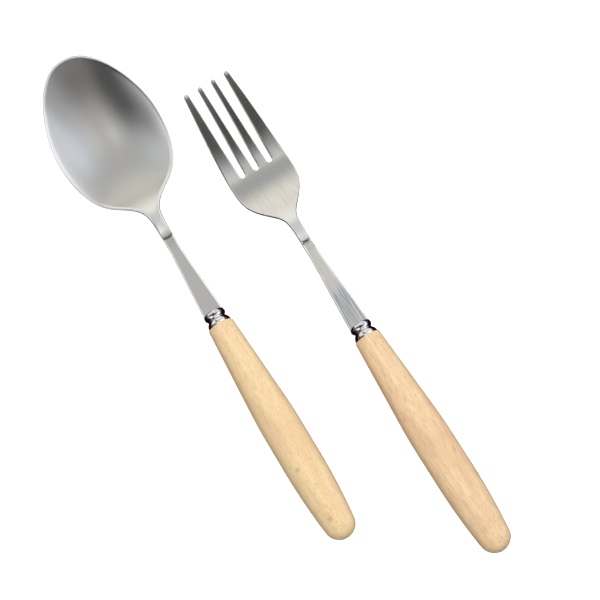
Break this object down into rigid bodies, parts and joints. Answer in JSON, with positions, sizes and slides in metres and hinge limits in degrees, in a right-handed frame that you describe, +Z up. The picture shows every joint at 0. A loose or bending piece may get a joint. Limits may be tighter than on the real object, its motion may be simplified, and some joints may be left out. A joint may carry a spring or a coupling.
{
  "type": "picnic cutlery",
  "caption": "Spoon and fork with pressed steel heads and flat stems, chromed beaded ferrules and turned wooden handles.",
  "frame": {"origin": "centre of the set's footprint, on the surface that both utensils lie on", "axes": "+Y from the butts to the heads, +Z up out of the bowl, spoon at -X and fork at +X"},
  "size_m": [0.0742, 0.2398, 0.0155],
  "materials": {
    "steel": "satin, brushed along its length, with polished edges",
    "chrome": "mirror",
    "beech": "satin oiled beech with short brown flecks",
    "glue": "cured epoxy"
  },
  "bodies": {
    "spoon": {"spoon_blade": "steel", "spoon_ferrule": "chrome", "spoon_handle": "beech", "spoon_glue": "glue"},
    "fork": {"fork_blade": "steel", "fork_ferrule": "chrome", "fork_handle": "beech", "fork_glue": "glue"}
  },
  "joints": [
    {"name": "fork_lift", "type": "slide", "parent": "spoon", "child": "fork", "axis": [0, 0, 1], "range_m": [0, 0.15]}
  ]
}
